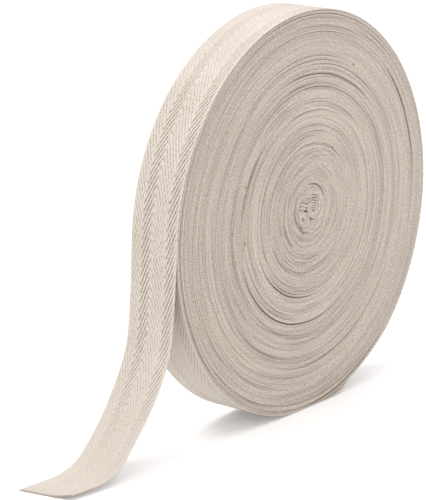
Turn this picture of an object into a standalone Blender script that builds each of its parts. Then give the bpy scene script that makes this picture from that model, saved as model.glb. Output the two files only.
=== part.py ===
# A roll of herringbone twill tape that stands on its edge, with its outer end hanging loose.
# Metres, +Z up. The roll's axis runs along Y and its front face looks towards -Y.
# The origin is on the flat spot, straight under the axis and at the middle of the width.

import math

import bmesh
import bpy
from mathutils import Matrix, Vector

# The tape and the roll
TAPE_WIDTH = 0.0254
ROLL_RADIUS = 0.0935            # outside of the last turn, where the tape leaves the roll
TURN_STEP = 0.0013              # fall of the outline under the loose end, one turn further in
TURN_FADE = 4                   # how soon that fall is made up again on the way round
LEAVE_ANGLE = math.radians(177.1)   # where the tape leaves, counted from +X up over the top
FLAT_DEPTH = 0.0003             # how far the flat spot is pressed in
ROUND_STEPS = 96                # straight stretches in one turn of the solid

# The last turn is a little slack beside the flat spot: angles from straight down, towards +X
SLACK_RISE = 0.0015
SLACK_START = math.radians(3.0)
SLACK_PEAK = math.radians(13.5)
SLACK_END = math.radians(17.5)

# The turns lie in bundles, each pushed forward or back as a whole, with a groove at its outside
HUB_SHIFT = Vector((0.0020, 0.0033))    # X and Z of the innermost turn, from the roll's axis
GROOVE_WIDTH = 0.0009
GROOVE_DEPTH = 0.0006
RIM_ROUNDING = 0.0004
BUNDLES = (
    # outer edge as a share of the radius, how far it stands forward
    (1.000, 0.0000),
    (0.893, 0.0002),
    (0.676, -0.0001),
    (0.545, 0.0002),
    (0.420, 0.0000),
    (0.215, 0.0003),
    (0.120, -0.0002),
)

# Places where two turns have parted: angles counted from +X up over the top
PARTING_STEPS = 10
PARTINGS = (
    # share of the radius, from, to, widest gap, depth
    (0.890, 4.0, 44.0, 0.0012, 0.0030),
    (0.676, 38.0, 84.0, 0.0008, 0.0016),
    (0.530, 134.0, 176.0, 0.0009, 0.0018),
    (0.560, 232.0, 300.0, 0.0007, 0.0014),
)

# The first end of the tape is folded into an S at the middle
CURL_RADIUS = 0.0034
CURL_TURN = math.radians(235.0)
CURL_LEAN = math.radians(40.0)
CURL_SLIT = 0.0009
CURL_DEPTH = 0.0024
CURL_STEPS = 12

# The loose end: each run is one arc of the tape, after a first one that makes up the height
END_THICKNESS = 0.0010
CLEARANCE = 0.0003
CUT_SLANT = 0.0120              # how much longer the back edge is than the front one
SLANT_REACH = 0.0300
ROW_PITCH = 0.0030
PATH_PITCH = 0.0005
ROWS_ACROSS = 4
FIRST_LEAN = math.radians(3.0)
RUNS = (
    # length, lean out from straight down, veer towards +Y, both in degrees at the end of the run
    (0.000, 5.0, 1.5),
    (0.010, 10.0, 2.0),
    (0.011, 24.0, 3.0),
    (0.011, 31.0, 3.5),
    (0.021, 38.0, 5.0),
    (0.011, 47.0, 6.0),
    (0.010, 71.0, 7.0),
    (0.012, 83.0, 11.0),
    (0.008, 90.0, 15.0),
    (0.006, 90.0, 17.0),
)

TAPE_COLOUR = (0.74, 0.66, 0.55, 1.0)
FACE_COLOUR = (0.58, 0.50, 0.42, 1.0)

FULL_TURN = 2.0 * math.pi
DOWN = 1.5 * math.pi


def outline_radius(angle):
    # the spiral of the last turn, from LEAVE_ANGLE under the loose end and round to it again
    turned = (angle - LEAVE_ANGLE) / FULL_TURN
    past_down = angle - DOWN
    rise = (past_down - SLACK_START) / (SLACK_PEAK - SLACK_START)
    fall = (SLACK_END - past_down) / (SLACK_END - SLACK_PEAK)
    slack = SLACK_RISE * max(0.0, min(rise, fall))
    return ROLL_RADIUS - TURN_STEP * (1.0 - turned) ** TURN_FADE + slack


AXIS_HEIGHT = outline_radius(DOWN) - FLAT_DEPTH


def wound_point(share, angle, y):
    # a place in the roll: share is 0 at the innermost turn and 1 at the outline, and only the
    # last bundle follows the outline's fall and slack
    if angle < LEAVE_ANGLE:
        angle += FULL_TURN
    last_share = BUNDLES[1][0]
    follow = max(0.0, (share - last_share) / (1.0 - last_share))
    reach = share * ROLL_RADIUS + follow * (outline_radius(angle) - ROLL_RADIUS)
    x = (1.0 - share) * HUB_SHIFT.x + reach * math.cos(angle)
    z = (1.0 - share) * HUB_SHIFT.y + reach * math.sin(angle)
    return Vector((x, y, AXIS_HEIGHT + z))


def make_material(name, colour):
    material = bpy.data.materials.new(name)
    material.use_nodes = True
    shader = material.node_tree.nodes["Principled BSDF"]
    shader.inputs["Base Color"].default_value = colour
    shader.inputs["Roughness"].default_value = 0.92
    shader.inputs["Metallic"].default_value = 0.0
    return material


def add_object(name, mesh, collection):
    obj = bpy.data.objects.new(name, mesh)
    collection.objects.link(obj)
    return obj


def hide_cutter(obj):
    obj.hide_render = True
    obj.display_type = "WIRE"


def add_cut(target, cutter):
    cut = target.modifiers.new(cutter.name, "BOOLEAN")
    cut.operation = "DIFFERENCE"
    cut.solver = "EXACT"
    cut.object = cutter


def face_profile(side):
    # the turned section of one face, from the rim in to the middle; side is 1 in front
    points = []
    for place, (share, forward) in enumerate(BUNDLES):
        level = 0.5 * TAPE_WIDTH + side * forward
        groove = 0.5 * GROOVE_WIDTH / ROLL_RADIUS
        if place == 0:
            points.append((1.0, level - RIM_ROUNDING))
            points.append((1.0 - RIM_ROUNDING / ROLL_RADIUS, level))
        else:
            points.append((share + groove, outer_level))
            points.append((share, min(outer_level, level) - GROOVE_DEPTH))
            points.append((share - groove, level))
        outer_level = level
    points.append((0.0, outer_level))
    return points


def turned_blank():
    # the roll as a plain turned body of radius 1 about Z, top face first
    front = [(radius, height) for radius, height in face_profile(1)]
    back = [(radius, -height) for radius, height in reversed(face_profile(-1))]
    mesh = bpy.data.meshes.new("roll_profile")
    points = front[::-1] + back[::-1]
    edges = [(place, place + 1) for place in range(len(points) - 1)]
    mesh.from_pydata([(radius, 0.0, height) for radius, height in points], edges, [])
    blank = add_object("roll_profile", mesh, parts)
    screw = blank.modifiers.new("turn", "SCREW")
    screw.axis = "Z"
    screw.steps = ROUND_STEPS
    screw.render_steps = ROUND_STEPS
    screw.use_merge_vertices = True
    screw.merge_threshold = 0.00001
    screw.use_smooth_shade = False
    turned = bpy.data.meshes.new_from_object(blank.evaluated_get(bpy.context.evaluated_depsgraph_get()))
    bpy.data.objects.remove(blank)
    return turned


def wind_blank(mesh):
    # carries the turned blank onto the wound outline, with its axis along Y
    step = FULL_TURN / ROUND_STEPS
    stretch = ROUND_STEPS / (ROUND_STEPS - 1.0) * 0.9999
    for vertex in mesh.vertices:
        radius = math.hypot(vertex.co.x, vertex.co.y)
        turn = math.atan2(vertex.co.y, vertex.co.x) % FULL_TURN
        column = round(turn / step) % ROUND_STEPS
        angle = LEAVE_ANGLE + column * step * stretch
        vertex.co = wound_point(radius, angle, -vertex.co.z)


def wall_cutter(name, path, face_y, depth, width, tapered):
    # an upright wall along a path in the face, which cuts a slit of the given depth
    inward = -1.0 if face_y > 0.0 else 1.0
    mesh = bpy.data.meshes.new(name)
    form = bmesh.new()
    outer = [form.verts.new((point.x, face_y - inward * depth, point.z)) for point in path]
    inner = [form.verts.new((point.x, face_y + inward * depth, point.z)) for point in path]
    for place in range(len(path) - 1):
        form.faces.new((outer[place], outer[place + 1], inner[place + 1], inner[place]))
    form.to_mesh(mesh)
    form.free()
    cutter = add_object(name, mesh, cutters)
    wall = cutter.modifiers.new("wall", "SOLIDIFY")
    wall.thickness = width
    wall.offset = 0.0
    if tapered:
        group = cutter.vertex_groups.new(name="gap")
        for place in range(len(path)):
            weight = math.sin(math.pi * place / (len(path) - 1))
            group.add([place, place + len(path)], weight, "REPLACE")
        wall.vertex_group = "gap"
        wall.thickness_vertex_group = 0.2
    hide_cutter(cutter)
    return cutter


def parting_path(share, start, end):
    angles = [start + (end - start) * place / PARTING_STEPS for place in range(PARTING_STEPS + 1)]
    return [wound_point(share, math.radians(angle), 0.0) for angle in angles]


def curl_path():
    # two arcs that meet at the middle of the hub, as an S
    middle = Vector((HUB_SHIFT.x, 0.0, AXIS_HEIGHT + HUB_SHIFT.y))
    path = []
    for place in range(-CURL_STEPS, CURL_STEPS + 1):
        side = 1.0 if place > 0 else -1.0
        turn = CURL_TURN * abs(place) / CURL_STEPS
        centre = Vector((math.cos(CURL_LEAN), 0.0, math.sin(CURL_LEAN))) * CURL_RADIUS
        spoke = CURL_LEAN + math.pi - turn
        arm = Vector((math.cos(spoke), 0.0, math.sin(spoke))) * CURL_RADIUS
        path.append(middle + side * (centre + arm))
    return path


def make_wound_roll():
    mesh = turned_blank()
    wind_blank(mesh)
    roll = add_object("wound_roll", mesh, parts)
    roll.data.materials.append(make_material("tape edges", FACE_COLOUR))

    bpy.ops.mesh.primitive_cube_add(size=1.0, location=(0.0, 0.0, -0.005))
    floor_cut = bpy.context.active_object
    floor_cut.name = "floor_cut"
    floor_cut.data.transform(Matrix.Diagonal((0.1, 2.0 * TAPE_WIDTH, 0.01, 1.0)))
    for owner in floor_cut.users_collection:
        owner.objects.unlink(floor_cut)
    cutters.objects.link(floor_cut)
    hide_cutter(floor_cut)
    add_cut(roll, floor_cut)

    for side, face_y in (("front", -0.5 * TAPE_WIDTH), ("back", 0.5 * TAPE_WIDTH)):
        curl = wall_cutter(f"curl_{side}", curl_path(), face_y, CURL_DEPTH, CURL_SLIT, False)
        add_cut(roll, curl)
        for number, (share, start, end, gap, depth) in enumerate(PARTINGS, 1):
            path = parting_path(share, start, end)
            add_cut(roll, wall_cutter(f"parting_{side}_{number}", path, face_y, depth, gap, True))
    return roll


def run_drop(length, lean, next_lean):
    # the height that one arc of the tape comes down
    if abs(next_lean - lean) < 0.000001:
        return length * math.cos(lean)
    return length * (math.sin(next_lean) - math.sin(lean)) / (next_lean - lean)


def loose_end_runs():
    # the runs in radians, the first one as long as brings the last one down onto the surface
    runs = []
    lean = FIRST_LEAN
    for length, degrees, veer in RUNS:
        runs.append([length, lean, math.radians(degrees), math.radians(veer)])
        lean = math.radians(degrees)
    start_height = AXIS_HEIGHT + (ROLL_RADIUS - 0.5 * END_THICKNESS) * math.sin(LEAVE_ANGLE)
    start_height -= CLEARANCE * math.cos(FIRST_LEAN)
    drop = start_height - 0.5 * END_THICKNESS
    for length, lean, next_lean, veer in runs[1:]:
        drop -= run_drop(length, lean, next_lean)
    runs[0][0] = drop / run_drop(1.0, runs[0][1], runs[0][2])
    return runs


def tape_direction(lean, veer):
    return Vector((-math.sin(lean) * math.cos(veer), math.sin(lean) * math.sin(veer), -math.cos(lean)))


def loose_end_path():
    # the middle line of the loose end: how far along the tape, the place and the veer there
    reach = ROLL_RADIUS - 0.5 * END_THICKNESS
    point = Vector((reach * math.cos(LEAVE_ANGLE), 0.0, AXIS_HEIGHT + reach * math.sin(LEAVE_ANGLE)))
    point += CLEARANCE * tape_direction(FIRST_LEAN, 0.0)
    run = 0.0
    veer = 0.0
    path = [(run, point, veer)]
    for length, lean, next_lean, next_veer in loose_end_runs():
        steps = math.ceil(length / PATH_PITCH)
        for step in range(steps):
            middle = (step + 0.5) / steps
            heading = tape_direction(lean + middle * (next_lean - lean), veer + middle * (next_veer - veer))
            point = point + heading * (length / steps)
            run += length / steps
            path.append((run, point, veer + (step + 1.0) / steps * (next_veer - veer)))
        veer = next_veer
    return path


def path_at(path, run):
    # place and veer at a run along the path, which goes straight on past its end
    here = 1
    while here < len(path) - 1 and path[here][0] < run:
        here += 1
    before, after = path[here - 1], path[here]
    share = (run - before[0]) / (after[0] - before[0])
    return before[1].lerp(after[1], share), before[2] + share * (after[2] - before[2])


def make_loose_end():
    path = loose_end_path()
    length = path[-1][0]
    row_count = round(length / ROW_PITCH)
    form = bmesh.new()
    rows = []
    for place in range(row_count + 1):
        run = length * place / row_count
        slant = max(0.0, 1.0 - (length - run) / SLANT_REACH) * CUT_SLANT
        row = []
        for column in range(ROWS_ACROSS + 1):
            share = column / ROWS_ACROSS - 0.5
            centre, veer = path_at(path, run + share * slant)
            across = Vector((math.sin(veer), math.cos(veer), 0.0))
            row.append(form.verts.new(centre + across * (share * TAPE_WIDTH)))
        rows.append(row)
    for row, next_row in zip(rows, rows[1:]):
        for column in range(ROWS_ACROSS):
            form.faces.new((row[column], next_row[column], next_row[column + 1], row[column + 1]))
    mesh = bpy.data.meshes.new("loose_end")
    form.to_mesh(mesh)
    form.free()
    sheet = add_object("loose_end", mesh, parts)
    sheet.data.materials.append(make_material("tape", TAPE_COLOUR))
    solid = sheet.modifiers.new("thickness", "SOLIDIFY")
    solid.thickness = END_THICKNESS
    solid.offset = 0.0
    return sheet


for old in list(bpy.data.objects):
    bpy.data.objects.remove(old)
parts = bpy.data.collections.new("roll of twill tape")
cutters = bpy.data.collections.new("cutters")
bpy.context.scene.collection.children.link(parts)
bpy.context.scene.collection.children.link(cutters)

make_wound_roll()
make_loose_end()
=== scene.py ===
import math
import random
import bpy
from mathutils import Euler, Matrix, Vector


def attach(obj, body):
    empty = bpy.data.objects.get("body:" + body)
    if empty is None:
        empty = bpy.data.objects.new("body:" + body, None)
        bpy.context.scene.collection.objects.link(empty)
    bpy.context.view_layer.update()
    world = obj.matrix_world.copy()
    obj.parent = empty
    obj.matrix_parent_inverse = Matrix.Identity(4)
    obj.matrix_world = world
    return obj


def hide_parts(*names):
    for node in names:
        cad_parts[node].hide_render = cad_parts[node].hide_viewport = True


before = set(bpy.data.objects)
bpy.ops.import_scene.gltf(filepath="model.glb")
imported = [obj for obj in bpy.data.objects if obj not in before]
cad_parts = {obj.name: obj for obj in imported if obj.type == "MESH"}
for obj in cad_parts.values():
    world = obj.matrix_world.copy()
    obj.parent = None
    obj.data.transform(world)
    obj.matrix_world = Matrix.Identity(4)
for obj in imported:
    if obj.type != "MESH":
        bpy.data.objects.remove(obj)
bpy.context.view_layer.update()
print("frame loaded:", sorted(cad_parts))

# One metre unit throughout. The roll's axis runs along Y, its front face looks to -Y.
mm = 0.001
fullTurn = 2.0 * math.pi

roll = {
    "width": 25.4 * mm,
    "radius": 93.5 * mm,          # outside of the last turn, where the tape leaves the roll
    "thickness": 0.65 * mm,       # of the tape
    "step": 0.70 * mm,            # fall of the outline under the loose end
    "stepFade": 4,
    "leave": math.radians(177.1),  # where the tape leaves, counted from +X up over the top
    "flat": 0.3 * mm,
    # the outermost turns are slack beside the flat spot, at these angles on from straight down
    "slack": (
        {"from": 1.0, "peak": 16.8, "to": 21.5, "rise": 1.9 * mm},
        {"from": 28.0, "peak": 43.0, "to": 72.0, "rise": 0.8 * mm},
    ),
    "hubX": 2.0 * mm,
    "hubZ": 3.3 * mm,
}


def slackAt(angle, bump):
    pastDown = math.degrees(angle) - 270.0
    rise = (pastDown - bump["from"]) / (bump["peak"] - bump["from"])
    fall = (bump["to"] - pastDown) / (bump["to"] - bump["peak"])
    return bump["rise"] * max(0.0, min(rise, fall))


def outlineRadius(angle, step):
    # the spiral of the last turn, from the leaving angle once round to it again
    turned = (angle - roll["leave"]) / fullTurn
    slack = sum(slackAt(angle, bump) for bump in roll["slack"])
    return roll["radius"] - step * max(0.0, 1.0 - turned) ** roll["stepFade"] + slack


# the solid's own step is 1.3 mm, and it sets how high the axis is
axisHeight = outlineRadius(1.5 * math.pi, 1.3 * mm) - roll["flat"]


# camera: at the photo's angle, as fitted to the roll's outlines
view = {
    "place": (-8.706, -6.558, 2.7432),   # in roll radii from the axis at mid width
    "yaw": math.radians(51.132),
    "pitch": math.radians(15.123),
    "focalPixels": 2300.0,
    "longSide": 500.0,
    "sensor": 36.0,
}


def makeCamera():
    data = bpy.data.cameras.new("camera")
    data.sensor_width = view["sensor"]
    data.lens = view["focalPixels"] * view["sensor"] / view["longSide"]
    data.clip_start = 0.05
    data.clip_end = 50.0
    camera = bpy.data.objects.new("camera", data)
    bpy.context.scene.collection.objects.link(camera)
    across, deep, up = (part * roll["radius"] for part in view["place"])
    camera.location = (across, deep, axisHeight + up)
    camera.rotation_euler = Euler((0.5 * math.pi - view["pitch"], 0.0, -view["yaw"]), "XYZ")
    bpy.context.scene.camera = camera


makeCamera()
# plain colours, so that a fully lit white floor is white
bpy.context.scene.view_settings.view_transform = "Standard"
print("camera in place")


# small helpers for node trees: each works in the tree that its sockets belong to
def feed(socket, value):
    if isinstance(value, bpy.types.NodeSocket):
        socket.id_data.links.new(value, socket)
    else:
        socket.default_value = value


def nodeMaker(tree):
    def make(kind, settings=None, **inputs):
        node = tree.nodes.new(kind)
        for name, value in (settings or {}).items():
            setattr(node, name, value)
        for name, value in inputs.items():
            feed(node.inputs[name.replace("_", " ")], value)
        return node
    return make


def mathNode(kind, operation, values):
    tree = [value for value in values if isinstance(value, bpy.types.NodeSocket)][0].id_data
    node = tree.nodes.new(kind)
    node.operation = operation
    return node


def calc(operation, *values):
    node = mathNode("ShaderNodeMath", operation, values)
    for place, value in enumerate(values):
        feed(node.inputs[place], value)
    return node.outputs[0]


def plus(one, two):
    return calc("ADD", one, two)


def minus(one, two):
    return calc("SUBTRACT", one, two)


def times(one, two):
    return calc("MULTIPLY", one, two)


def arrow(operation, *values):
    node = mathNode("ShaderNodeVectorMath", operation, values)
    for place, value in enumerate(values):
        feed(node.inputs["Scale" if operation == "SCALE" and place == 1 else place], value)
    return node.outputs["Vector"]


def noiseAt(make, scale, detail, roughness=0.5, dimensions="3D", **at):
    node = make("ShaderNodeTexNoise", {"noise_dimensions": dimensions}, Scale=scale, Detail=detail, **at)
    node.inputs["Roughness"].default_value = roughness
    return node.outputs[0]


def ramp(make, value, low, high, first=0.0, last=1.0, kind="LINEAR"):
    return make("ShaderNodeMapRange", {"interpolation_type": kind}, Value=value,
                From_Min=low, From_Max=high, To_Min=first, To_Max=last).outputs[0]


def combined(make, x, y, z):
    return make("ShaderNodeCombineXYZ", X=x, Y=y, Z=z).outputs[0]


def separated(make, vector):
    return make("ShaderNodeSeparateXYZ", Vector=vector).outputs


def newGeometryTree(name, inputs):
    # the inputs' names are listed under their kind of socket
    tree = bpy.data.node_groups.new(name, "GeometryNodeTree")
    tree.interface.new_socket("Geometry", in_out="INPUT", socket_type="NodeSocketGeometry")
    for kind, labels in inputs.items():
        for label in labels:
            tree.interface.new_socket(label, in_out="INPUT", socket_type="NodeSocket" + kind)
    tree.interface.new_socket("Geometry", in_out="OUTPUT", socket_type="NodeSocketGeometry")
    return tree, tree.nodes.new("NodeGroupInput").outputs, tree.nodes.new("NodeGroupOutput")


def guideObject(name, points, attributes):
    # a line of points that a tree reads, with its own values at each point
    mesh = bpy.data.meshes.new(name)
    mesh.from_pydata(points, [(place, place + 1) for place in range(len(points) - 1)], [])
    for label, values in attributes.items():
        isArrow = isinstance(values[0], tuple)
        layer = mesh.attributes.new(label, "FLOAT_VECTOR" if isArrow else "FLOAT", "POINT")
        for point, value in zip(layer.data, values):
            setattr(point, "vector" if isArrow else "value", value)
    guide = bpy.data.objects.new(name, mesh)
    bpy.context.scene.collection.objects.link(guide)
    return guide


def bakeTree(guide, tree, values, name):
    # runs the tree on the guide and keeps the result as a plain mesh
    modifier = guide.modifiers.new(tree.name, "NODES")
    modifier.node_group = tree
    for item in tree.interface.items_tree:
        if item.in_out == "INPUT" and item.name in values:
            modifier[item.identifier] = values[item.name]
    guide.update_tag()
    bpy.context.view_layer.update()
    depsgraph = bpy.context.evaluated_depsgraph_get()
    mesh = bpy.data.meshes.new_from_object(guide.evaluated_get(depsgraph))
    mesh.name = name
    guide.modifiers.remove(modifier)
    # every face uses the one material
    mesh.materials.clear()
    mesh.materials.append(values["Material"])
    mesh.polygons.foreach_set("material_index", [0] * len(mesh.polygons))
    piece = bpy.data.objects.new(name, mesh)
    bpy.context.scene.collection.objects.link(piece)
    return piece


def removeGuides(*guides):
    for guide in guides:
        bpy.data.objects.remove(guide)


# the herringbone tape: four bands of ribs that lean one way and the other
weave = {
    "ribPitch": 4.0 * mm,         # along the tape
    "ribLean": 2.5,               # along for each unit across
    "borders": (0.0, 0.25, 0.57, 0.785, 1.0),   # of the bands, as shares of the width from the front
    "edge": 0.8 * mm,             # plain edge with no ribs
    "ribDepth": 0.70,             # share of half the thickness
    "flatter": 0.48,              # ribs that lean with the yarns' twist stand out less: shallower, and with less painted shade in their valleys, as the light falls along them
    "rowsPerBand": 7,
    "columnPitch": 0.5 * mm,
    "bevel": 0.22 * mm,
    "yarnWidth": 0.85 * mm,
    "rippleAlong": 45.0,          # how close the ripples are
    "rippleAcross": 70.0,
    "raggedScale": 900.0,
    "cutBand": 0.5 * mm,          # of painted shade beside the cut
    "sharpFrom": math.radians(70.0),
}


def sectionGuide(name, width, ribsOut, ribsIn):
    # rows once round the tape's section. A point's x is across, its y how far it lags along the
    # tape beside the first row, so that the columns follow the ribs, and its z the height
    half = 0.5 * width
    rise = 0.5 * roll["thickness"]
    borders = weave["borders"]
    count = weave["rowsPerBand"]
    face, lag = [], 0.0
    for band in range(len(borders) - 1):
        lean = 1.0 if band % 2 == 0 else -1.0
        wide = (borders[band + 1] - borders[band]) * width
        for row in range(count):
            share = row / count
            across = -half + borders[band] * width + share * wide
            fromEdge = min(across + half, half - across)
            shows = min(1.0, max(0.0, (fromEdge - 0.5 * weave["edge"]) / weave["edge"]))
            shows *= min(1.0, 0.45 + 2.4 * min(share, 1.0 - share))
            shows *= 1.0 if lean > 0.0 else weave["flatter"]
            rowLag = lag + lean * weave["ribLean"] * share * wide
            face.append((across, rowLag, rise, shows, 0.5 * (band % 2), lean))
        lag += lean * weave["ribLean"] * wide
    face.append((half, lag, rise, 0.0, 0.5, -1.0))
    # the two edge rows sit lower, with a row beside each, so that the edges are rounded
    bevel = weave["bevel"]
    first, last = face[0], face[-1]
    face[0] = (first[0], first[1], 0.45 * rise, 0.0, 0.0, 1.0)
    face[-1] = (last[0], last[1], 0.45 * rise, 0.0, 0.5, -1.0)
    face.insert(1, (-half + bevel, weave["ribLean"] * bevel, 0.95 * rise, 0.0, 0.0, 1.0))
    face.insert(-1, (half - bevel, lag + weave["ribLean"] * bevel, 0.95 * rise, 0.0, 0.5, -1.0))
    back = face if ribsIn else [face[0], face[1], face[-2], face[-1]]
    rows = []
    for side, ribs, sign in ((face, ribsOut, 1.0), (reversed(back), ribsIn, -1.0)):
        for across, rowLag, height, shows, shift, lean in side:
            rows.append((across, rowLag, sign * height, ribs * shows, shift, lean))
    rows.append(rows[0])
    columns = {label: [row[n] for row in rows] for n, label in ((3, "ribs"), (4, "shift"), (5, "lean"))}
    lags = [row[1] for row in rows]
    return guideObject(name, [row[:3] for row in rows], columns), len(rows), max(lags), min(lags)


def picked(sockets, name):
    # the socket of that name that the node's present type uses
    return [socket for socket in sockets if socket.name == name and socket.enabled][0]


def namedField(make, kind, label):
    node = make("GeometryNodeInputNamedAttribute", {"data_type": kind}, Name=label)
    return picked(node.outputs, "Attribute")


def sampleIndex(make, geometry, kind, value, index):
    settings = {"data_type": kind, "domain": "POINT", "clamp": True}
    node = make("GeometryNodeSampleIndex", settings, Geometry=geometry)
    feed(picked(node.inputs, "Value"), value)
    feed(picked(node.inputs, "Index"), index)
    return picked(node.outputs, "Value")


def sampleNamed(make, geometry, label, index):
    return sampleIndex(make, geometry, "FLOAT", namedField(make, "FLOAT", label), index)


def storeFields(make, geometry, target, values):
    # every value by its name, and the place that the point moves to
    fields = [("FLOAT", label, value) for label, value in values.items()]
    for kind, label, value in fields + [("FLOAT_VECTOR", "target", target)]:
        settings = {"data_type": kind, "domain": "POINT"}
        node = make("GeometryNodeStoreNamedAttribute", settings, Geometry=geometry, Name=label)
        feed(picked(node.inputs, "Value"), value)
        geometry = node.outputs[0]
    return geometry


def gridIndex(make, columns, rows):
    # a flat grid with each point's column and row number
    grid = make("GeometryNodeMeshGrid", Size_X=1.0, Size_Y=1.0, Vertices_X=columns, Vertices_Y=rows)
    parts = separated(make, make("GeometryNodeInputPosition").outputs[0])
    column = calc("ROUND", times(plus(parts["X"], 0.5), minus(columns, 1.0)))
    row = calc("ROUND", times(plus(parts["Y"], 0.5), minus(rows, 1.0)))
    return grid.outputs["Mesh"], column, row


def sampleLine(make, line, run, kind, label):
    # the line's place, tangent and value of that name, that far along it
    node = make("GeometryNodeSampleCurve", {"mode": "LENGTH", "data_type": kind}, Curves=line, Length=run)
    feed(picked(node.inputs, "Value"), namedField(make, kind, label))
    return node.outputs


def finishTree(make, geometry, material, out, sharpFrom):
    # moves the grid's points to their stored places, joins what meets and sets the material
    target = namedField(make, "FLOAT_VECTOR", "target")
    moved = make("GeometryNodeSetPosition", Geometry=geometry, Position=target).outputs[0]
    whole = make("GeometryNodeMergeByDistance", Geometry=moved, Distance=0.01 * mm).outputs[0]
    whole = make("GeometryNodeFlipFaces", Mesh=whole).outputs[0]
    tidy = make("GeometryNodeRemoveAttribute", Geometry=whole, Name="target").outputs[0]
    smooth = make("GeometryNodeSetShadeSmooth", {"domain": "FACE"}, Geometry=tidy).outputs[0]
    bend = make("GeometryNodeInputMeshEdgeAngle").outputs[0]
    edged = make("GeometryNodeSetShadeSmooth", {"domain": "EDGE"}, Geometry=smooth,
                 Selection=calc("GREATER_THAN", bend, sharpFrom), Shade_Smooth=False)
    real = make("GeometryNodeRealizeInstances", Geometry=edged.outputs[0]).outputs[0]
    feed(out.inputs[0], make("GeometryNodeSetMaterial", Geometry=real, Material=material).outputs[0])


def buildTapeTree():
    tree, gave, out = newGeometryTree("woven tape", {
        "Object": ["Section"],
        "Int": ["Columns", "Rows"],
        "Float": ["First Run", "Column Pitch", "Run To", "Slant", "Most Lag", "Least Lag", "Width",
                  "Rib Pitch", "Rib Depth", "Phase Run", "Ripple", "Edge Lift", "Lift From", "Cut Shows",
                  "Point Caps", "Ragged"],
        "Material": ["Material"],
    })
    make = nodeMaker(tree)

    line = make("GeometryNodeMeshToCurve", Mesh=gave["Geometry"]).outputs[0]
    section = make("GeometryNodeObjectInfo", Object=gave["Section"]).outputs["Geometry"]
    grid, column, row = gridIndex(make, gave["Columns"], gave["Rows"])
    place = make("GeometryNodeInputPosition").outputs[0]
    rowPlace = separated(make, sampleIndex(make, section, "FLOAT_VECTOR", place, row))
    ribs, shift, lean = (sampleNamed(make, section, label, row) for label in ("ribs", "shift", "lean"))
    across, lag, height = rowPlace["X"], rowPlace["Y"], rowPlace["Z"]

    # how far along the tape this point is, stopped at the two ends
    start = plus(gave["First Run"], times(column, gave["Column Pitch"]))
    wanted = plus(start, lag)
    last = plus(gave["Run To"], times(gave["Slant"], calc("DIVIDE", across, gave["Width"])))
    uneven = noiseAt(make, weave["raggedScale"], 2.0, dimensions="1D", W=across)
    last = plus(last, times(gave["Ragged"], minus(uneven, 0.5)))
    run = calc("MINIMUM", calc("MAXIMUM", wanted, 0.0), last)
    # where every row is past an end, the section closes onto the middle of the tape
    before = minus(0.0, plus(start, gave["Most Lag"]))
    furthest = plus(gave["Run To"], times(0.5, calc("ABSOLUTE", gave["Slant"])))
    beyond = minus(plus(start, gave["Least Lag"]), furthest)
    inside = calc("LESS_THAN", calc("MAXIMUM", before, beyond), gave["Column Pitch"])
    # or onto its middle point, where the back has fewer rows than the face
    across = times(across, calc("MAXIMUM", inside, minus(1.0, gave["Point Caps"])))

    wholeRun = minus(run, gave["Phase Run"])
    phase = plus(calc("DIVIDE", minus(wholeRun, lag), gave["Rib Pitch"]), shift)
    wave = plus(0.5, times(0.5, calc("COSINE", times(phase, fullTurn))))
    valley = times(ribs, minus(1.0, calc("POWER", wave, 0.5)))
    # in places the ribs are pressed flatter
    pressed = picked(sampleLine(make, line, run, "FLOAT", "press"), "Value")
    valley = times(valley, minus(1.0, pressed))
    sink = minus(1.0, times(valley, gave["Rib Depth"]))

    onLine = sampleLine(make, line, run, "FLOAT_VECTOR", "across")
    sideways = arrow("NORMALIZE", picked(onLine, "Value"))
    outward = arrow("NORMALIZE", arrow("CROSS_PRODUCT", sideways, onLine["Tangent"]))

    slow = combined(make, times(wholeRun, weave["rippleAlong"]), times(across, weave["rippleAcross"]), 0.0)
    ripple = times(gave["Ripple"], minus(noiseAt(make, 1.0, 2.0, Vector=slow), 0.5))
    # towards its end the tape's front edge stands off the floor
    raised = ramp(make, run, gave["Lift From"], gave["Run To"], kind="SMOOTHSTEP")
    frontness = calc("MAXIMUM", 0.0, calc("DIVIDE", across, times(-0.5, gave["Width"])))
    raised = times(times(raised, gave["Edge Lift"]), calc("POWER", frontness, 1.6))
    lift = plus(times(times(height, sink), inside), plus(ripple, raised))
    shaped = arrow("ADD", onLine["Position"], arrow("SCALE", sideways, across))
    shaped = arrow("ADD", shaped, arrow("SCALE", outward, lift))

    # painted shade on a narrow band beside the cut end
    fromCut = ramp(make, minus(last, run), 0.0, weave["cutBand"], 1.0, 0.0)
    flat = storeFields(make, grid, shaped, {
        # the valleys' depth, which the tape material also paints darker as shade
        "valley": valley,
        "acrossTape": across,
        "ribPhase": phase,
        "ribLean": lean,
        "pressed": pressed,
        # painted shade over the loose end's pressed, flat part
        "handled": times(pressed, gave["Cut Shows"]),
        "cut": times(fromCut, gave["Cut Shows"]),
    })
    finishTree(make, flat, gave["Material"], out, weave["sharpFrom"])
    return tree


# what a strip of tape is unless its own settings say otherwise
plainStrip = {
    "Slant": 0.0, "Rib Depth": weave["ribDepth"], "Phase Run": 0.0, "Ripple": 0.0, "Edge Lift": 0.0,
    "Lift From": 0.0, "Cut Shows": 0.0, "Point Caps": 0.0, "Ragged": 0.0,
}


def sweepTape(name, guide, section, tree, material, length, settings):
    # one strip of tape along a guide line, from its start to that length
    sectionObject, rows, mostLag, leastLag = section
    pitch = weave["columnPitch"]
    reach = length + mostLag - leastLag + abs(settings.get("Slant", 0.0))
    return bakeTree(guide, tree, {
        **plainStrip,
        **settings,
        "Section": sectionObject,
        "Columns": int(reach / pitch) + 12,
        "Rows": rows,
        # a whole number of columns before the start, so that two strips that meet share them
        "First Run": -(math.ceil(mostLag / pitch) + 2) * pitch,
        "Column Pitch": pitch,
        "Run To": length,
        "Most Lag": mostLag,
        "Least Lag": leastLag,
        "Width": roll["width"],
        "Rib Pitch": weave["ribPitch"],
        "Material": material,
    }, name)


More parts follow.
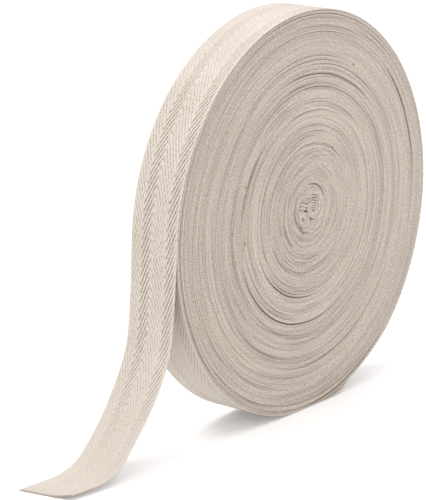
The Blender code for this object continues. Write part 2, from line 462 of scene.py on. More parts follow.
def lineRuns(points):
    # how far along the line each of its points is
    runs = [0.0]
    for one, two in zip(points[:-1], points[1:]):
        runs.append(runs[-1] + (Vector(two) - Vector(one)).length)
    return runs


def pressAt(run, table):
    # how far the ribs are pressed flat there, smoothly from one row of the table to the next
    for near, far in zip(table[:-1], table[1:]):
        if near["run"] <= run <= far["run"]:
            blend = (run - near["run"]) / (far["run"] - near["run"])
            blend = blend * blend * (3.0 - 2.0 * blend)
            return near["press"] + (far["press"] - near["press"]) * blend
    return table[0]["press"] if run < table[0]["run"] else table[-1]["press"]


def tapeGuide(name, points, across, pressTable):
    press = [pressAt(run, pressTable) for run in lineRuns(points)]
    return guideObject(name, points, {"across": across, "press": press})


# the last turn, from under the loose end once round to where the tape leaves
outer = {
    "steps": 720,
    "ripple": 0.10 * mm,
    "gap": 0.06 * mm,
    "loose": 0.38 * mm,           # more gap under it beside the flat spot
    "looseFrom": math.radians(-2.0),   # counted on from straight down
    "looseTo": math.radians(34.0),
    "press": (                    # its ribs are flatter behind the loose end and on the top
        {"run": 80.0 * mm, "press": 0.50},
        {"run": 190.0 * mm, "press": 0.0},
        {"run": 400.0 * mm, "press": 0.0},
        {"run": 455.0 * mm, "press": 0.55},
        {"run": 490.0 * mm, "press": 0.40},
        {"run": 535.0 * mm, "press": 0.0},
    ),
}


def lastTurnLoose(angle):
    share = (angle - 1.5 * math.pi - outer["looseFrom"]) / (outer["looseTo"] - outer["looseFrom"])
    return math.sin(math.pi * share) ** 0.5 if 0.0 < share < 1.0 else 0.0


def rimRadius(angle, inward, lost=0.0):
    # the outline at that depth under the outside, pressed flat where the roll rests. A turn
    # further in has lost part of the first slack
    radius = outlineRadius(angle, roll["step"]) - inward - lost * slackAt(angle, roll["slack"][0])
    if math.sin(angle) < -0.5:
        radius = min(radius, (axisHeight - inward) / -math.sin(angle))
    return radius


def polar(radius, angle, y=0.0):
    return (radius * math.cos(angle), y, axisHeight + radius * math.sin(angle))


def lastTurnAngles(count):
    return [roll["leave"] + fullTurn * n / count for n in range(count + 1)]


def makeOuterTurn(tree, material):
    angles = lastTurnAngles(outer["steps"])
    points = [polar(rimRadius(a, 0.5 * roll["thickness"]), a) for a in angles]
    guide = tapeGuide("last turn line", points, [(0.0, 1.0, 0.0)] * len(points), outer["press"])
    section = sectionGuide("last turn section", roll["width"], 1.0, 0.0)
    length = lineRuns(points)[-1]
    settings = {"Ripple": outer["ripple"], "Point Caps": 1.0}
    piece = sweepTape("outerTurn", guide, section, tree, material, length, settings)
    removeGuides(guide, section[0])
    return piece, length


# the loose end: it hangs down, bends away from the roll and lies on the floor
loose = {
    "firstLean": math.radians(3.0),
    # each run of the path, with its lean off straight down and its turn towards the back at its end
    "runs": (
        {"length": 0.0, "lean": 5.0, "veer": 1.5},   # its length follows from the height
        {"length": 10.0 * mm, "lean": 10.0, "veer": 2.0},
        {"length": 11.0 * mm, "lean": 24.0, "veer": 3.0},
        {"length": 11.0 * mm, "lean": 31.0, "veer": 3.5},
        {"length": 21.0 * mm, "lean": 38.0, "veer": 6.5},
        {"length": 11.0 * mm, "lean": 41.0, "veer": 4.0},
        {"length": 10.0 * mm, "lean": 69.0, "veer": 3.5},
        {"length": 12.0 * mm, "lean": 86.5, "veer": 8.5},
        {"length": 8.0 * mm, "lean": 89.0, "veer": 6.0},
        {"length": 6.5 * mm, "lean": 90.0, "veer": 1.0},
    ),
    "slant": 5.4 * mm,             # how much longer the back edge is than the front one
    "edgeLift": 2.4 * mm,
    "liftOver": 60.0 * mm,
    "press": (
        {"run": 18.0 * mm, "press": 0.0},
        {"run": 115.0 * mm, "press": 0.80},
    ),
    "ragged": 0.8 * mm,
    "pathStep": 0.5 * mm,
    "extra": 8.0 * mm,            # of the guide line beyond the cut's middle
}


def runDrop(length, lean, nextLean):
    if abs(nextLean - lean) < 1e-6:
        return length * math.cos(lean)
    return length * (math.sin(nextLean) - math.sin(lean)) / (nextLean - lean)


def looseEndLine():
    angle = roll["leave"]
    spot = Vector(polar(roll["radius"] - 0.5 * roll["thickness"], angle))
    lean, veer = loose["firstLean"], 0.0
    table = [
        {"length": run["length"], "lean": math.radians(run["lean"]), "veer": math.radians(run["veer"])}
        for run in loose["runs"]
    ]
    below = 0.0
    for before, run in zip(table[:-1], table[1:]):
        below += runDrop(run["length"], before["lean"], run["lean"])
    height = spot.z - 0.5 * roll["thickness"] - below
    table[0]["length"] = height / runDrop(1.0, lean, table[0]["lean"])
    table.append({"length": loose["extra"], "lean": table[-1]["lean"], "veer": table[-1]["veer"]})
    points, across = [tuple(spot)], [(0.0, 1.0, 0.0)]
    for run in table:
        steps = max(2, round(run["length"] / loose["pathStep"]))
        for n in range(steps):
            middle = (n + 0.5) / steps
            midLean = lean + (run["lean"] - lean) * middle
            midVeer = veer + (run["veer"] - veer) * middle
            outwards = math.sin(midLean)
            sideways = outwards * math.sin(midVeer)
            heading = Vector((-outwards * math.cos(midVeer), sideways, -math.cos(midLean)))
            spot = spot + heading * run["length"] / steps
            atVeer = veer + (run["veer"] - veer) * (n + 1) / steps
            points.append(tuple(spot))
            across.append((math.sin(atVeer), math.cos(atVeer), 0.0))
        lean, veer = run["lean"], run["veer"]
    length = lineRuns(points)[-1] - loose["extra"]
    return points, across, length


def makeLooseEnd(tree, material, startRun):
    points, across, length = looseEndLine()
    guide = tapeGuide("loose end line", points, across, loose["press"])
    section = sectionGuide("loose end section", roll["width"], 1.0, 1.0)
    piece = sweepTape("looseEnd", guide, section, tree, material, length, {
        "Slant": loose["slant"], "Phase Run": -startRun, "Ripple": outer["ripple"], "Cut Shows": 1.0,
        "Ragged": loose["ragged"], "Edge Lift": loose["edgeLift"], "Lift From": length - loose["liftOver"]})
    removeGuides(guide, section[0])
    return piece, length


# all the turns inside the last one
turns = {
    "columns": 180,
    "pitch": 0.655 * mm,
    "ringRadius": 11.5 * mm,      # the innermost turns are pulled into a ring of this radius
    "ringTurns": 7,
    "holeX": -1.3 * mm,           # middle of the folded start's place
    "holeZ": -1.6 * mm,
    "groove": (0.07 * mm, 0.22 * mm),
    "deepGroove": (0.26 * mm, 0.45 * mm),
    "wander": 0.30 * mm,
    "uneven": 0.30 * mm,
    "unevenScale": 55.0,
    "spreadFade": -0.35,          # how soon a parting's push on the turns beside it is gone
    "sharpFrom": math.radians(100.0),
    "slackLost": 0.40,            # share of the last turn's slack that the next turn hasn't
    "followFrom": 0.965,          # turns inside this share of the radius have none
    "pitchVaries": 0.10 * mm,
    "stagger": 0.11 * mm,         # how far turns stand forward or back of each other
    "grooveStagger": 0.3,         # share of it in the grooves
    "levelFrom": 0.42,            # where on the way to the next level the step begins
    "levelOver": 0.16,
    "patch": {"aside": -0.20, "swing": 2.2, "middle": 0.85, "least": 0.15, "mostLight": 1.6},
    "levels": (                   # bundles of turns stand forward or back of each other
        {"share": 0.000, "forward": -0.10 * mm},
        {"share": 0.120, "forward": -0.10 * mm},
        {"share": 0.215, "forward": 0.06 * mm},
        {"share": 0.420, "forward": 0.00 * mm},
        {"share": 0.545, "forward": 0.08 * mm},
        {"share": 0.676, "forward": 0.04 * mm},
        {"share": 0.893, "forward": 0.07 * mm},
        {"share": 1.100, "forward": 0.00 * mm},
    ),
    # where turns part: share of the radius, angles, and how wide and deep
    "partings": (
        {"share": 0.890, "from": 2.0, "to": 46.0, "gap": 0.6 * mm, "depth": 1.7 * mm},
        {"share": 0.676, "from": 46.0, "to": 108.0, "gap": 0.15 * mm, "depth": 0.7 * mm},
        {"share": 0.530, "from": 132.0, "to": 176.0, "gap": 0.5 * mm, "depth": 1.4 * mm},
        {"share": 0.560, "from": 196.0, "to": 302.0, "gap": 0.35 * mm, "depth": 1.2 * mm},
        {"share": 0.430, "from": 200.0, "to": 275.0, "gap": 0.25 * mm, "depth": 0.9 * mm},
        {"share": 0.212, "from": 146.0, "to": 232.0, "gap": 0.35 * mm, "depth": 1.2 * mm},
        {"share": 0.125, "from": 130.0, "to": 268.0, "gap": 0.25 * mm, "depth": 0.8 * mm},
        {"share": 0.119, "from": 2.0, "to": 104.0, "gap": 0.25 * mm, "depth": 0.7 * mm},
        {"share": 0.978, "from": 268.0, "to": 312.0, "gap": 0.45 * mm, "depth": 1.6 * mm},
        {"share": 0.780, "from": 250.0, "to": 330.0, "gap": 0.10 * mm, "depth": 0.5 * mm},
    ),
}


def buildTurnsTree():
    tree, gave, out = newGeometryTree("wound turns", {
        "Object": ["Turn Line"],
        "Int": ["Columns", "Face Rows"],
        "Float": ["Half Width", "Radius", "Axis Height", "Wander", "Unevenness"],
        "Vector": ["Hub Shift", "Hole Shift"],
        "Material": ["Material"],
    })
    make = nodeMaker(tree)
    rimLine = gave["Geometry"]
    turnLine = make("GeometryNodeObjectInfo", Object=gave["Turn Line"]).outputs["Geometry"]
    faceRows = gave["Face Rows"]
    allRows = times(faceRows, 2.0)
    grid, column, row = gridIndex(make, gave["Columns"], plus(allRows, 1.0))

    # rows run out over the front face, back in over the back one, and the last is the first again
    count = calc("MODULO", row, allRows)
    onBack = calc("GREATER_THAN", plus(count, 0.5), faceRows)
    mirrored = minus(minus(allRows, 1.0), count)
    turnRow = plus(times(count, minus(1.0, onBack)), times(mirrored, onBack))
    side = minus(times(onBack, 2.0), 1.0)

    def alongRim(label):
        return sampleNamed(make, rimLine, label, column)

    angle, part, limit, hole = (alongRim(label) for label in ("angle", "part", "limit", "hole"))

    def overTurns(label):
        # a turn's value changes into that of the next turn on the way round
        here = sampleNamed(make, turnLine, label, turnRow)
        after = sampleNamed(make, turnLine, label, plus(turnRow, 2.0))
        return plus(here, times(part, minus(after, here)))

    turn, base, ring = overTurns("turn"), overTurns("base"), overTurns("ring")
    level, groove, shade, light = (overTurns(label) for label in ("level", "groove", "shade", "light"))

    # partings spread the turns and deepen the groove between them
    spread, opened = 0.0, 0.0
    for place in range(len(turns["partings"])):
        centre, middle, reach, gap, depth = (
            sampleNamed(make, turnLine, "parting", 5 * place + n) for n in range(5))
        away = minus(calc("FRACT", plus(minus(part, middle), 0.5)), 0.5)
        window = minus(1.0, calc("POWER", calc("DIVIDE", calc("ABSOLUTE", away), reach), 2.0))
        window = calc("MAXIMUM", 0.0, window)
        beside = minus(turn, plus(centre, away))
        fade = calc("EXPONENT", times(calc("ABSOLUTE", beside), turns["spreadFade"]))
        direction = calc("SIGN", times(beside, calc("GREATER_THAN", calc("ABSOLUTE", beside), 0.1)))
        push = times(times(direction, fade), times(window, times(gap, 0.5)))
        spread = plus(spread, push)
        cut = calc("MAXIMUM", 0.0, minus(1.0, times(calc("ABSOLUTE", beside), 3.0)))
        opened = plus(opened, times(times(cut, window), depth))

    # turns wander in and out together, the loose innermost ones most
    roundAngle = combined(make, calc("COSINE", angle), calc("SINE", angle), 0.0)
    atTurn = combined(make, 0.0, 0.0, turn)

    def roundNoise(aroundScale, turnScale, detail):
        vector = arrow("ADD", arrow("SCALE", roundAngle, aroundScale), arrow("SCALE", atTurn, turnScale))
        return times(minus(noiseAt(make, 1.0, detail, Vector=vector), 0.5), 2.0)

    loosened = plus(1.0, times(minus(1.0, ring), 4.0))
    held = calc("MINIMUM", 1.0, times(ring, 4.0))
    wander = times(times(gave["Wander"], roundNoise(3.0, 0.33, 2.0)), times(loosened, held))
    wound = plus(base, spread)
    # the innermost turns lie round the folded start, those outside the ring are round
    radius = plus(times(hole, minus(1.0, ring)), times(wound, ring))
    radius = plus(radius, wander)
    share = calc("MINIMUM", 1.0, calc("DIVIDE", radius, gave["Radius"]))
    # the outermost turns take the outline's slack with them
    follow = ramp(make, share, turns["followFrom"], 1.0)
    radius = plus(radius, times(follow, alongRim("slack")))
    inner = calc("MAXIMUM", radius, hole)
    stopped = calc("MINIMUM", inner, limit)
    free = times(calc("GREATER_THAN", limit, plus(inner, 0.000001)), calc("GREATER_THAN", ring, 0.001))

    shift = minus(1.0, calc("MINIMUM", 1.0, calc("DIVIDE", stopped, gave["Radius"])))
    hub = arrow("SCALE", gave["Hub Shift"], shift)
    hub = arrow("ADD", hub, arrow("SCALE", gave["Hole Shift"], minus(1.0, ring)))
    flatX = times(stopped, calc("COSINE", angle))
    flatZ = plus(times(stopped, calc("SINE", angle)), gave["Axis Height"])
    spot = arrow("SCALE", combined(make, flatX, times(side, 0.01), flatZ), turns["unevenScale"])
    uneven = times(gave["Unevenness"], minus(noiseAt(make, 1.0, 2.0, Vector=spot), 0.5))
    # a groove deepens and fades on its way round, and stands out more on the loose end's side
    patch = turns["patch"]
    patchy = plus(times(calc("COSINE", angle), patch["aside"]),
                  times(patch["swing"], roundNoise(1.5, 0.8, 1.0)))
    patchy = calc("MAXIMUM", patch["least"], plus(patch["middle"], patchy))
    sunk = times(free, plus(times(groove, patchy), opened))
    forward = plus(times(level, free), plus(uneven, gave["Half Width"]))
    forward = minus(forward, sunk)
    place = arrow("ADD", combined(make, flatX, times(side, forward), flatZ), hub)

    # the painted highlight follows how deep the grooves are
    light = times(light, calc("MINIMUM", patch["mostLight"], patchy))
    grid = storeFields(make, grid, place, {"sunk": sunk, "shade": shade, "light": light})
    finishTree(make, grid, gave["Material"], out, turns["sharpFrom"])
    return tree


def turnTables():
    # values for each row of the face: where its turn lies and how far forward it stands
    picker = random.Random(41)
    outside = roll["radius"] - roll["thickness"] - turns["ringRadius"]
    total = int(outside / turns["pitch"] + turns["ringTurns"]) + 2
    rows = 2 * (total + 1) + 3
    jitter = [picker.uniform(-1.0, 1.0) for n in range(rows + 4)]
    # most grooves are shallow, and deep ones stand alone
    grooves, nextDeep = [], 3
    for turn in range(rows + 4):
        deep = turn == nextDeep
        nextDeep += picker.randint(2, 4) if deep else 0
        grooves.append(picker.uniform(*turns["deepGroove"]) if deep else picker.uniform(*turns["groove"]))
    table = {"turn": [], "base": [], "ring": [], "level": [], "groove": [], "shade": []}
    for row in range(rows + 4):
        turn = 0.5 * row - 1.0
        crest = row % 2 == 1
        base = turns["ringRadius"] + (turn - turns["ringTurns"]) * turns["pitch"]
        base += turns["pitchVaries"] * jitter[row - row % 2] * (0.0 if turn < 2 else 1.0)
        share = base / roll["radius"]
        level = 0.0
        for near, far in zip(turns["levels"][:-1], turns["levels"][1:]):
            if near["share"] <= share < far["share"]:
                blend = (share - near["share"]) / (far["share"] - near["share"])
                blend = min(1.0, max(0.0, (blend - turns["levelFrom"]) / turns["levelOver"]))
                level = near["forward"] + (far["forward"] - near["forward"]) * blend
        table["turn"].append(turn)
        table["base"].append(base)
        table["ring"].append(min(1.0, max(0.0, turn / turns["ringTurns"])))
        stagger = turns["stagger"] * jitter[row] * (1.0 if crest else turns["grooveStagger"])
        table["level"].append(level + stagger)
        table["groove"].append(0.0 if crest else grooves[row // 2])
        table["shade"].append(0.5 + 0.5 * jitter[(row + 1) % len(jitter)])
    # a turn beside a deep groove shows its edge, which gets a painted highlight
    deepest = max(table["groove"])
    table["light"] = [0.0] + [
        max(table["groove"][row - 1], table["groove"][row + 1]) / deepest if row % 2 == 1 else 0.0
        for row in range(1, rows + 3)] + [0.0]
    return table, rows


def partingTable(rows):
    # five values for each parting: its turn, its middle and reach as parts of a turn, gap, depth
    values = []
    for parting in turns["partings"]:
        middle = math.radians(0.5 * (parting["from"] + parting["to"]))
        part = ((middle - roll["leave"]) / fullTurn) % 1.0
        outside = parting["share"] * roll["radius"] - turns["ringRadius"]
        shareTurn = outside / turns["pitch"] + turns["ringTurns"]
        whole = round(shareTurn - part)
        reach = math.radians(0.5 * (parting["to"] - parting["from"])) / fullTurn
        values += [whole + part, part, reach, parting["gap"], parting["depth"]]
    return values + [0.0] * (rows - len(values))


def startReach(angle):
    # how far the folded start reaches from the middle of its place in that direction
    folds = start["folds"]
    shapes = [(lobe["x"], lobe["z"], lobe["outer"] + 0.3 * mm) for lobe in start["lobes"]]
    foldsMiddle = folds["z"] - 0.5 * folds["drop"] * folds["count"]
    shapes.append((folds["x"], foldsMiddle, folds["reach"] + 0.6 * mm))
    reach = 4.0 * mm
    for x, z, radius in shapes:
        x, z = x - turns["holeX"], z - turns["holeZ"]
        towards = x * math.cos(angle) + z * math.sin(angle)
        under = radius ** 2 - x * x - z * z + towards ** 2
        if under > 0.0:
            reach = max(reach, towards + math.sqrt(under))
    return reach


def holeRadius(angle):
    near = [startReach(angle + math.radians(5.0 * n)) for n in range(-3, 4)]
    return sum(near) / len(near)


def makeWoundTurns(material):
    table, rows = turnTables()
    count = len(table["turn"])
    table["parting"] = partingTable(count)
    turnLine = guideObject("turn line", [(0.001 * n, 0.0, 0.0) for n in range(count)], table)
    # one column more than the angles: it closes the end of the last turn
    angles = lastTurnAngles(turns["columns"]) + [roll["leave"] + fullTurn]
    inward = roll["thickness"] + outer["gap"]
    limits = [rimRadius(a, inward, turns["slackLost"]) - outer["loose"] * lastTurnLoose(a) for a in angles]
    limits[-1] = limits[0]
    parts = [min(1.0, n / turns["columns"]) for n in range(len(angles))]
    kept = 1.0 - turns["slackLost"]
    slack = [kept * slackAt(a, roll["slack"][0]) + slackAt(a, roll["slack"][1]) for a in angles]
    hole = [holeRadius(a) for a in angles]
    rimLine = guideObject("rim line", [polar(0.09, a) for a in angles], {
        "angle": angles, "part": parts, "limit": limits, "slack": slack, "hole": hole})
    values = {
        "Turn Line": turnLine,
        "Columns": len(angles),
        "Face Rows": rows,
        "Half Width": 0.5 * roll["width"] - 0.06 * mm,
        "Radius": roll["radius"],
        "Axis Height": axisHeight,
        "Hub Shift": (roll["hubX"], 0.0, roll["hubZ"]),
        "Hole Shift": (turns["holeX"], 0.0, turns["holeZ"]),
        "Wander": turns["wander"],
        "Unevenness": turns["uneven"],
        "Material": material,
    }
    piece = bakeTree(rimLine, buildTurnsTree(), values, "woundTurns")
    removeGuides(turnLine, rimLine)
    return piece


# the folded start in the middle: the tape's first end, rolled up, folded to and fro and rolled again
start = {
    "lobes": (
        {"x": 2.3 * mm, "z": -0.4 * mm, "eyeX": 2.2 * mm, "eyeZ": -2.0 * mm, "outer": 5.1 * mm,
         "inner": 0.9 * mm, "turns": 5.2, "edge": math.radians(135.0), "waves": 3.0, "eyeCrumple": 0.30},
        {"x": -5.0 * mm, "z": -5.2 * mm, "eyeX": -5.6 * mm, "eyeZ": -4.8 * mm, "outer": 3.9 * mm,
         "inner": 0.9 * mm, "turns": 3.7, "edge": math.radians(172.0), "waves": 2.0, "eyeCrumple": 0.12},
    ),
    "folds": {"x": -5.7 * mm, "z": 2.9 * mm, "reach": 2.5 * mm, "drop": 0.84 * mm, "count": 5,
              "wave": 0.30 * mm, "waveLength": 2.7 * mm},
    "steps": 40,                  # per turn
    "recess": 0.05 * mm,
    "thickness": 1.20,            # beside the outer tape's, since it is not pulled flat
    "crumple": 0.06,              # how uneven the lobes are, as a share of their radius
    "telescope": 0.30 * mm,       # how far its windings stand forward or back
    "shade": 0.90,
    "light": 0.75,
}


def lobePoints(lobe):
    # from the lobe's eye out to its edge, counter-clockwise
    points = []
    count = int(lobe["turns"] * start["steps"])
    for n in range(count + 1):
        share = n / count
        radius = lobe["inner"] + (lobe["outer"] - lobe["inner"]) * share
        angle = lobe["edge"] - fullTurn * lobe["turns"] * (1.0 - share)
        crumple = start["crumple"] + (lobe["eyeCrumple"] - start["crumple"]) * (1.0 - share) ** 2
        radius *= 1.0 + crumple * math.sin(lobe["waves"] * angle + 0.5)
        forward = start["telescope"] * math.sin(1.3 * angle)
        middleX = lobe["eyeX"] + (lobe["x"] - lobe["eyeX"]) * share
        middleZ = lobe["eyeZ"] + (lobe["z"] - lobe["eyeZ"]) * share
        points.append((middleX + radius * math.cos(angle), forward, middleZ + radius * math.sin(angle)))
    return points


def foldPoints():
    # to and fro in wavy folds, from the right end of the top one to the left end of the last
    folds, points = start["folds"], []
    count = folds["count"] * 24
    for n in range(count + 1):
        along = folds["count"] * n / count
        x = folds["x"] + folds["reach"] * math.cos(math.pi * along)
        wave = folds["wave"] * math.sin(fullTurn * x / folds["waveLength"])
        z = folds["z"] - folds["drop"] * along + wave
        points.append((x, start["telescope"] * math.sin(2.0 * along), z))
    return points


def startLine():
    first, second = start["lobes"]
    # the second lobe is wound the other way, so it is a mirrored one walked inwards
    mirrored = dict(second, edge=-second["edge"], z=-second["z"], eyeZ=-second["eyeZ"])
    inward = [(x, y, -z) for x, y, z in reversed(lobePoints(mirrored))]
    points = lobePoints(first) + foldPoints() + inward
    return [(x + roll["hubX"], y, z + roll["hubZ"] + axisHeight) for x, y, z in points]


def makeFoldedStart(tree, material):
    points = startLine()
    unpressed = ({"run": 0.0, "press": 0.0},)
    guide = tapeGuide("start line", points, [(0.0, 1.0, 0.0)] * len(points), unpressed)
    section = sectionGuide("start section", roll["width"] - 2.0 * start["recess"], 0.0, 0.0)
    for vertex in section[0].data.vertices:
        vertex.co.z *= start["thickness"]
        vertex.co.y = 0.0
    section = (section[0], section[1], 0.0, 0.0)
    settings = {"Rib Depth": 0.0, "Point Caps": 1.0}
    piece = sweepTape("foldedStart", guide, section, tree, material, lineRuns(points)[-1], settings)
    removeGuides(guide, section[0])
    # its tone and painted highlight, which the wound turns have row by row
    for label, amount in (("shade", start["shade"]), ("light", start["light"])):
        layer = piece.data.attributes.new(label, "FLOAT", "POINT")
        layer.data.foreach_set("value", [amount] * len(piece.data.vertices))
    return piece


# shader groups: each gives only values
def shaderGroup(name, gets, gives):
    tree = bpy.data.node_groups.new(name, "ShaderNodeTree")
    for label, kind, value in gets:
        socket = tree.interface.new_socket(label, in_out="INPUT", socket_type="NodeSocket" + kind)
        if value is not None:
            socket.default_value = value
    for label in gives:
        tree.interface.new_socket(label, in_out="OUTPUT", socket_type="NodeSocketFloat")
    given, out = tree.nodes.new("NodeGroupInput"), tree.nodes.new("NodeGroupOutput")
    return tree, given.outputs, out.inputs


def fibreGroup():
    # fine cotton fibre and slow changes of tone, from a place in metres
    tree, gave, gets = shaderGroup("cotton fibre", [("Place", "Vector", None)], ("Fuzz", "Tone", "Fleck"))
    make = nodeMaker(tree)
    fine = noiseAt(make, 2600.0, 3.0, 0.65, Vector=gave["Place"])
    grain = noiseAt(make, 900.0, 2.0, 0.6, Vector=gave["Place"])
    feed(gets["Fuzz"], plus(times(fine, 0.5), times(grain, 0.5)))
    feed(gets["Tone"], noiseAt(make, 42.0, 3.0, 0.55, Vector=gave["Place"]))
    spots = noiseAt(make, 310.0, 1.0, Vector=gave["Place"])
    feed(gets["Fleck"], ramp(make, spots, 0.755, 0.79))
    return tree


def yarnGroup():
    # warp yarns along the tape, each floating over the weft a little later than the one beside it
    tree, gave, gets = shaderGroup(
        "twill yarns",
        [("Across", "Float", 0.0), ("Phase", "Float", 0.0), ("Lean", "Float", 1.0),
         ("Yarn Width", "Float", weave["yarnWidth"]),
         ("Slope", "Float", weave["ribLean"] / weave["ribPitch"])],
        ("Height", "Gap"))
    number = calc("DIVIDE", gave["Across"], gave["Yarn Width"])
    inYarn = minus(calc("FRACT", number), 0.5)
    ridge = calc("SQRT", calc("MAXIMUM", 0.0, calc("COSINE", times(inYarn, math.pi))))
    step = times(times(inYarn, gave["Yarn Width"]), times(gave["Lean"], gave["Slope"]))
    floatAt = calc("COSINE", times(plus(gave["Phase"], step), fullTurn))
    floats = plus(0.5, times(0.5, floatAt))
    height = times(ridge, plus(0.45, times(0.55, calc("SQRT", floats))))
    feed(gets["Height"], height)
    feed(gets["Gap"], minus(1.0, height))
    return tree


fibres, yarns = fibreGroup(), yarnGroup()

looks = {
    "cream": (0.675, 0.608, 0.538),
    # a darker cream, for random tone and for painted shade in the valleys, between the yarns and beside the
    # cut
    "shade": (0.225, 0.178, 0.138),
    "face": (0.535, 0.458, 0.388),
    "faceLight": (0.655, 0.574, 0.494),
    # for the face's grain dots and its painted shade in grooves and partings
    "faceGrainAndShade": (0.150, 0.108, 0.078),
    "fleck": (0.250, 0.150, 0.080),
}


def startMaterial(name, roughness):
    material = bpy.data.materials.new(name)
    material.use_nodes = True
    tree = material.node_tree
    shader = [node for node in tree.nodes if node.type == "BSDF_PRINCIPLED"][0]
    shader.inputs["Roughness"].default_value = roughness
    shader.inputs["Specular IOR Level"].default_value = 0.15
    shader.inputs["Sheen Weight"].default_value = 0.15
    shader.inputs["Sheen Roughness"].default_value = 0.6
    make = nodeMaker(tree)

    def value(label):
        return make("ShaderNodeAttribute", {"attribute_name": label}).outputs["Fac"]

    def mixed(share, one, two):
        node = make("ShaderNodeMix", {"data_type": "RGBA"})
        feed(picked(node.inputs, "Factor"), share)
        for label, colour in (("A", one), ("B", two)):
            feed(picked(node.inputs, label), (*colour, 1.0) if isinstance(colour, tuple) else colour)
        return picked(node.outputs, "Result")

    def group(tree, **inputs):
        node = make("ShaderNodeGroup", {"node_tree": tree})
        for label, given in inputs.items():
            feed(node.inputs[label.replace("_", " ")], given)
        return node.outputs

    place = make("ShaderNodeTexCoord").outputs["Object"]
    return material, shader, make, value, mixed, group, place


def tapeMaterial():
    material, shader, make, value, mixed, group, place = startMaterial("twill tape", 0.92)
    fibre = group(fibres, Place=place)
    yarn = group(yarns, Across=value("acrossTape"), Phase=value("ribPhase"), Lean=value("ribLean"))
    toned = mixed(times(minus(1.0, fibre["Tone"]), 0.30), looks["cream"], looks["shade"])
    dotted = ramp(make, noiseAt(make, 1250.0, 1.5, 0.6, Vector=place), 0.38, 0.62, 0.2)
    # painted shade in the valleys between the ribs and in the gaps between the yarns; the yarns show as
    # dots, also in the valleys between the ribs
    valley = times(value("valley"), plus(0.60, times(dotted, 0.42)))
    gap = times(times(yarn["Gap"], dotted), 0.75)
    # less painted shade between the yarns where the ribs are pressed flat
    gap = times(gap, minus(1.0, times(value("pressed"), 0.75)))
    # the loose end's pressed part also gets a little painted shade all over
    dark = calc("MINIMUM", 1.0, plus(plus(valley, gap), times(value("handled"), 0.19)))
    ribbed = mixed(dark, toned, looks["shade"])
    # and painted shade beside the cut end
    ribbed = mixed(times(value("cut"), 0.65), ribbed, looks["shade"])
    feed(shader.inputs["Base Color"], mixed(times(fibre["Fleck"], 0.3), ribbed, looks["fleck"]))
    height = plus(times(yarn["Height"], 0.7), times(fibre["Fuzz"], 0.6))
    bump = make("ShaderNodeBump", Strength=0.6, Distance=0.09 * mm, Height=height)
    feed(shader.inputs["Normal"], bump.outputs[0])
    return material


def faceMaterial():
    material, shader, make, value, mixed, group, place = startMaterial("selvedges", 0.95)
    fibre = group(fibres, Place=place)
    # each turn's edge is dotted where the weft comes round it
    dotted = ramp(make, noiseAt(make, 1350.0, 1.5, 0.6, Vector=place), 0.36, 0.64)
    # painted shade in the grooves between turns, darker still where turns have parted deep
    sunk = ramp(make, value("sunk"), 0.02 * mm, 0.40 * mm)
    deep = ramp(make, value("sunk"), 0.40 * mm, 1.30 * mm)
    streak = times(plus(value("shade"), fibre["Tone"]), 0.5)
    toned = mixed(streak, looks["face"], looks["faceLight"])
    # painted highlight on turns beside deep grooves
    lit = ramp(make, value("light"), 0.35, 1.0)
    toned = mixed(times(lit, 0.7), toned, looks["cream"])
    grained = mixed(times(minus(1.0, dotted), 0.46), toned, looks["faceGrainAndShade"])
    grooved = mixed(times(sunk, 0.60), grained, looks["faceGrainAndShade"])
    opened = mixed(times(deep, 0.85), grooved, looks["faceGrainAndShade"])
    # and painted shade deep between turns that have parted
    fromMiddle = calc("ABSOLUTE", separated(make, place)["Y"])
    between = ramp(make, minus(0.5 * roll["width"], fromMiddle), 0.75 * mm, 2.4 * mm)
    opened = mixed(times(between, 0.9), opened, looks["faceGrainAndShade"])
    feed(shader.inputs["Base Color"], mixed(fibre["Fleck"], opened, looks["fleck"]))
    height = plus(times(dotted, 0.7), times(fibre["Fuzz"], 0.6))
    bump = make("ShaderNodeBump", Strength=0.7, Distance=0.16 * mm, Height=height)
    feed(shader.inputs["Normal"], bump.outputs[0])
    return material


# floor and light: a white sweep, soft lamps on the left and above and a weak one in front
studio = {
    "floorSize": 12.0,
    "floorColour": (0.85, 0.85, 0.85, 1.0),
    "floorGlow": 0.13,
    "worldColour": (0.990, 0.988, 1.0, 1.0),
    "worldStrength": 1.00,
    "lamps": (
        {"name": "key", "at": (-1.1, 0.8, 2.2), "size": 0.9, "power": 15.0},
        {"name": "top", "at": (-0.4, -0.2, 2.4), "size": 3.0, "power": 29.0},
        {"name": "front", "at": (-0.3, -2.2, 1.2), "size": 1.2, "power": 3.5},
    ),
    "aim": (0.0, 0.0, 0.09),
}


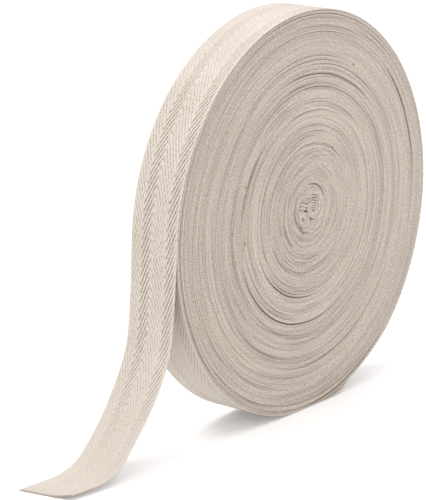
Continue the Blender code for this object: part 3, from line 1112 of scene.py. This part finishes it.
def makeStudio():
    mesh = bpy.data.meshes.new("floor")
    half = 0.5 * studio["floorSize"]
    corners = [(-half, -half, 0.0), (half, -half, 0.0), (half, half, 0.0), (-half, half, 0.0)]
    mesh.from_pydata(corners, [], [(0, 1, 2, 3)])
    floor = bpy.data.objects.new("floor", mesh)
    bpy.context.scene.collection.objects.link(floor)
    material = bpy.data.materials.new("floor")
    material.use_nodes = True
    shader = [node for node in material.node_tree.nodes if node.type == "BSDF_PRINCIPLED"][0]
    shader.inputs["Base Color"].default_value = studio["floorColour"]
    shader.inputs["Roughness"].default_value = 0.9
    shader.inputs["Specular IOR Level"].default_value = 0.0
    shader.inputs["Emission Color"].default_value = studio["worldColour"]
    shader.inputs["Emission Strength"].default_value = studio["floorGlow"]
    mesh.materials.append(material)

    world = bpy.data.worlds.new("white")
    bpy.context.scene.world = world
    world.use_nodes = True
    sky = [node for node in world.node_tree.nodes if node.type == "BACKGROUND"][0]
    sky.inputs["Color"].default_value = studio["worldColour"]
    sky.inputs["Strength"].default_value = studio["worldStrength"]

    for lamp in studio["lamps"]:
        light = bpy.data.lights.new(lamp["name"], "AREA")
        light.shape = "DISK"
        light.size = lamp["size"]
        light.energy = lamp["power"]
        holder = bpy.data.objects.new(lamp["name"], light)
        bpy.context.scene.collection.objects.link(holder)
        holder.location = lamp["at"]
        towards = Vector(studio["aim"]) - Vector(lamp["at"])
        holder.rotation_euler = towards.to_track_quat("-Z", "Y").to_euler()


makeStudio()
print("floor and light in place")

cloth, selvedges = tapeMaterial(), faceMaterial()
print("materials made")

tapeTree = buildTapeTree()
outerTurn, turnLength = makeOuterTurn(tapeTree, cloth)
print("last turn made:", len(outerTurn.data.polygons))
looseEnd, endLength = makeLooseEnd(tapeTree, cloth, turnLength)
print("loose end made:", len(looseEnd.data.polygons), round(endLength, 4))
woundTurns = makeWoundTurns(selvedges)
print("wound turns made:", len(woundTurns.data.polygons))
foldedStart = makeFoldedStart(tapeTree, selvedges)
print("folded start made:", len(foldedStart.data.polygons))

for piece in (outerTurn, looseEnd, woundTurns, foldedStart):
    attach(piece, "root")
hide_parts("wound_roll")
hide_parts("loose_end")
